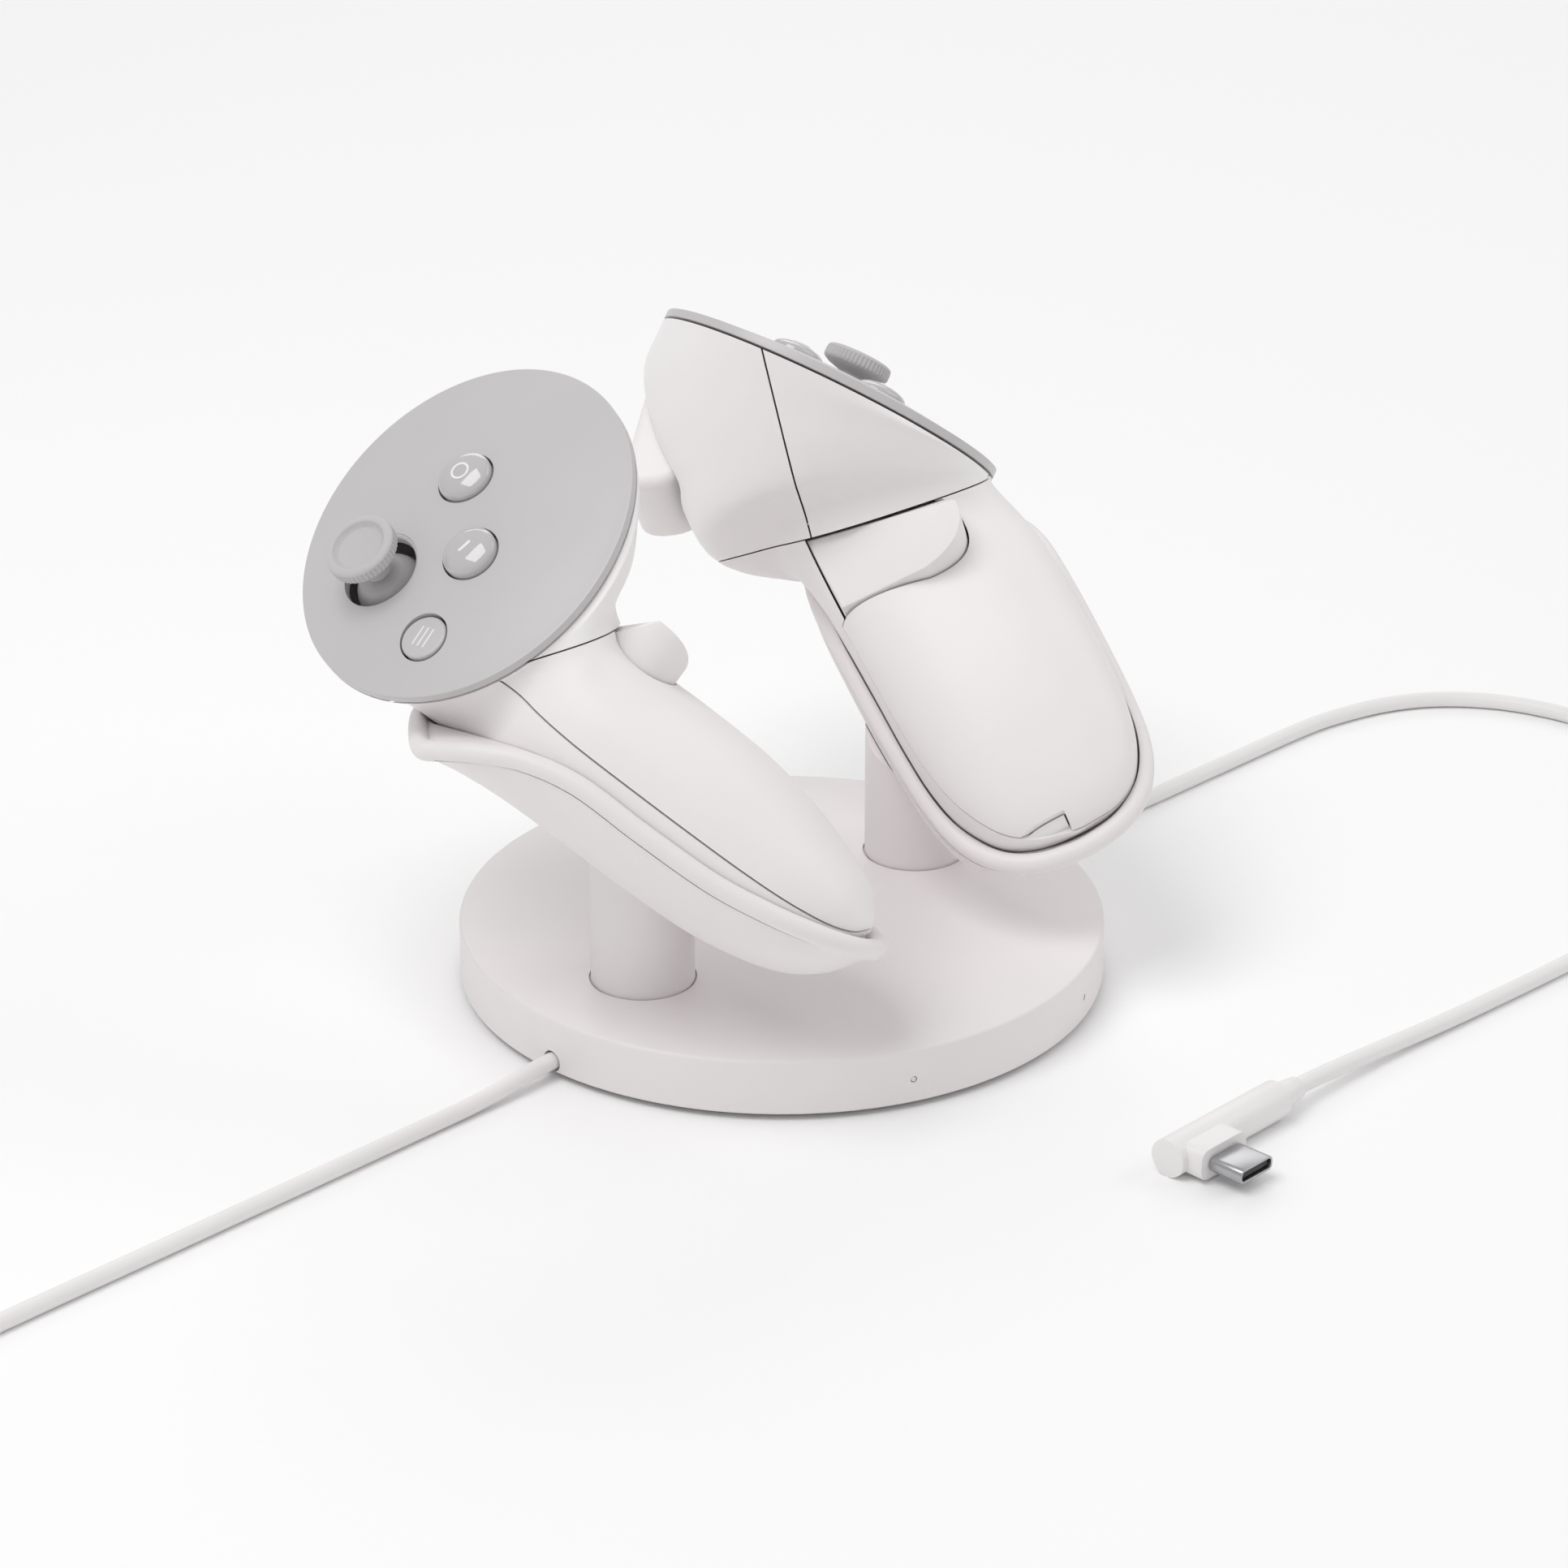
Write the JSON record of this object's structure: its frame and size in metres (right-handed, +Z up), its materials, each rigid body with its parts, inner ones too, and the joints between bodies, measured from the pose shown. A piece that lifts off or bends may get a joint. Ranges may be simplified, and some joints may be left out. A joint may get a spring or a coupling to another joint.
{
  "type": "pair of hand-held motion controllers on a charging dock",
  "caption": "Two mirror-image ringless hand controllers with thumbsticks, keys and triggers, resting in tilted cradles on a round white charging dock with cords.",
  "frame": {"origin": "centre of the round foot pad's underside, on the floor", "axes": "+Z up, +X from the left controller's post to the right controller's post, -Y towards the side the two handle ends point to"},
  "size_m": [0.4191, 0.1919, 0.1086],
  "materials": {
    "dock_white_plastic": "warm white moulded plastic, fine matte",
    "dark_plastic": "dark grey moulded plastic and elastomer pad, matte",
    "steel": "plain steel, satin",
    "board_green": "green circuit board laminate",
    "clear_key_plastic": "smoky clear domed plastic, polished",
    "cord_white": "soft white cord jacket and moulded plug, satin",
    "copper_winding": "enamelled copper winding",
    "plate_grey_plastic": "light grey moulded plastic, satin",
    "warm_white_plastic": "warm white moulded plastic, fine matte",
    "stick_rubber": "light grey grippy elastomer",
    "battery_sleeve": "printed film sleeve, plain grey"
  },
  "bodies": {
    "dock": {"base_shell": "dock_white_plastic", "foot_pad": "dark_plastic", "base_plate": "dark_plastic", "ballast_weight": "steel", "dock_circuit_board": "board_green", "status_light_front": "clear_key_plastic", "status_light_side": "clear_key_plastic", "power_cord_grommet": "dark_plastic", "output_cord_grommet": "dark_plastic", "left_post": "dock_white_plastic", "right_post": "dock_white_plastic", "power_cord": "cord_white", "output_cord": "cord_white", "power_cord_coil": "cord_white", "coil_tie": "cord_white", "power_plug_body": "cord_white", "power_plug_shell": "steel", "output_plug_body": "cord_white", "output_plug_shell": "steel", "output_strain_relief": "cord_white", "left_cradle_shell": "dock_white_plastic", "left_cradle_liner": "dock_white_plastic", "left_charging_coil": "copper_winding", "right_cradle_shell": "dock_white_plastic", "right_cradle_liner": "dock_white_plastic", "right_charging_coil": "copper_winding"},
    "left_controller": {"left_handle_shell": "warm_white_plastic", "left_head_front_shell": "warm_white_plastic", "left_head_rear_shell": "warm_white_plastic", "left_face_plate": "plate_grey_plastic", "left_thumbstick_gimbal": "dark_plastic", "left_battery_cell": "battery_sleeve", "left_main_board": "board_green", "left_trigger_pin": "steel", "left_grip_pin": "steel"},
    "left_cover": {"left_battery_cover": "warm_white_plastic"},
    "left_stick_ball": {"left_thumbstick_ball": "plate_grey_plastic"},
    "left_stick_cap": {"left_thumbstick_cap": "stick_rubber"},
    "left_upper_key": {"left_upper_button": "clear_key_plastic"},
    "left_lower_key": {"left_lower_button": "clear_key_plastic"},
    "left_menu_key": {"left_menu_button": "plate_grey_plastic"},
    "left_trigger_lever": {"left_trigger": "warm_white_plastic"},
    "left_grip_lever": {"left_grip_button": "warm_white_plastic"},
    "right_controller": {"right_handle_shell": "warm_white_plastic", "right_head_front_shell": "warm_white_plastic", "right_head_rear_shell": "warm_white_plastic", "right_face_plate": "plate_grey_plastic", "right_thumbstick_gimbal": "dark_plastic", "right_battery_cell": "battery_sleeve", "right_main_board": "board_green", "right_trigger_pin": "steel", "right_grip_pin": "steel"},
    "right_cover": {"right_battery_cover": "warm_white_plastic"},
    "right_stick_ball": {"right_thumbstick_ball": "plate_grey_plastic"},
    "right_stick_cap": {"right_thumbstick_cap": "stick_rubber"},
    "right_upper_key": {"right_upper_button": "clear_key_plastic"},
    "right_lower_key": {"right_lower_button": "clear_key_plastic"},
    "right_menu_key": {"right_menu_button": "plate_grey_plastic"},
    "right_trigger_lever": {"right_trigger": "warm_white_plastic"},
    "right_grip_lever": {"right_grip_button": "warm_white_plastic"}
  },
  "joints": [
    {"name": "left_lift_off", "type": "slide", "parent": "dock", "child": "left_controller", "axis": [0.1999, -0.1, 0.9747], "range_m": [0, 0.05]},
    {"name": "left_cover_slide", "type": "slide", "parent": "left_controller", "child": "left_cover", "axis": [0.0914, -0.9869, 0.1326], "range_m": [0, 0.03]},
    {"name": "left_stick_tilt_across", "type": "hinge", "parent": "left_controller", "child": "left_stick_ball", "pos_m": [-0.05388, 0.03934, 0.07774], "axis": [0.7692, -0.2861, 0.5714], "range_deg": [-20, 20], "stiffness_Nm_per_rad": 0.03},
    {"name": "left_stick_tilt_along", "type": "hinge", "parent": "left_stick_ball", "child": "left_stick_cap", "pos_m": [-0.05388, 0.03934, 0.07774], "axis": [0.2166, 0.958, 0.1881], "range_deg": [-20, 20], "stiffness_Nm_per_rad": 0.03},
    {"name": "left_upper_press", "type": "slide", "parent": "left_controller", "child": "left_upper_key", "axis": [0.6012, 0.0209, -0.7988], "range_m": [0, 0.001], "stiffness_N_per_m": 400, "springref_m": -0.0005},
    {"name": "left_lower_press", "type": "slide", "parent": "left_controller", "child": "left_lower_key", "axis": [0.6012, 0.0209, -0.7988], "range_m": [0, 0.001], "stiffness_N_per_m": 400, "springref_m": -0.0005},
    {"name": "left_menu_press", "type": "slide", "parent": "left_controller", "child": "left_menu_key", "axis": [0.6012, 0.0209, -0.7988], "range_m": [0, 0.0006], "stiffness_N_per_m": 400, "springref_m": -0.0005},
    {"name": "left_trigger_pull", "type": "hinge", "parent": "left_controller", "child": "left_trigger_lever", "pos_m": [-0.03741, 0.05602, 0.0814], "axis": [-0.5542, 0.2793, -0.7841], "range_deg": [0, 12], "stiffness_Nm_per_rad": 0.06, "springref_deg": -8.59},
    {"name": "left_grip_squeeze", "type": "hinge", "parent": "left_controller", "child": "left_grip_lever", "pos_m": [-0.02763, 0.01072, 0.06396], "axis": [0.2863, -0.8206, -0.4946], "range_deg": [0, 4], "stiffness_Nm_per_rad": 0.1, "springref_deg": -5.73},
    {"name": "right_lift_off", "type": "slide", "parent": "dock", "child": "right_controller", "axis": [-0.1999, -0.1, 0.9747], "range_m": [0, 0.05]},
    {"name": "right_cover_slide", "type": "slide", "parent": "right_controller", "child": "right_cover", "axis": [-0.0914, -0.9869, 0.1326], "range_m": [0, 0.03]},
    {"name": "right_stick_tilt_across", "type": "hinge", "parent": "right_controller", "child": "right_stick_ball", "pos_m": [0.05388, 0.03934, 0.07774], "axis": [0.7692, 0.2861, -0.5714], "range_deg": [-20, 20], "stiffness_Nm_per_rad": 0.03},
    {"name": "right_stick_tilt_along", "type": "hinge", "parent": "right_stick_ball", "child": "right_stick_cap", "pos_m": [0.05388, 0.03934, 0.07774], "axis": [0.2166, -0.958, -0.1881], "range_deg": [-20, 20], "stiffness_Nm_per_rad": 0.03},
    {"name": "right_upper_press", "type": "slide", "parent": "right_controller", "child": "right_upper_key", "axis": [-0.6012, 0.0209, -0.7988], "range_m": [0, 0.001], "stiffness_N_per_m": 400, "springref_m": -0.0005},
    {"name": "right_lower_press", "type": "slide", "parent": "right_controller", "child": "right_lower_key", "axis": [-0.6012, 0.0209, -0.7988], "range_m": [0, 0.001], "stiffness_N_per_m": 400, "springref_m": -0.0005},
    {"name": "right_menu_press", "type": "slide", "parent": "right_controller", "child": "right_menu_key", "axis": [-0.6012, 0.0209, -0.7988], "range_m": [0, 0.0006], "stiffness_N_per_m": 400, "springref_m": -0.0005},
    {"name": "right_trigger_pull", "type": "hinge", "parent": "right_controller", "child": "right_trigger_lever", "pos_m": [0.03741, 0.05602, 0.0814], "axis": [-0.5542, -0.2793, 0.7841], "range_deg": [0, 12], "stiffness_Nm_per_rad": 0.06, "springref_deg": -8.59},
    {"name": "right_grip_squeeze", "type": "hinge", "parent": "right_controller", "child": "right_grip_lever", "pos_m": [0.02763, 0.01072, 0.06396], "axis": [0.2863, 0.8206, 0.4946], "range_deg": [0, 4], "stiffness_Nm_per_rad": 0.1, "springref_deg": -5.73}
  ]
}
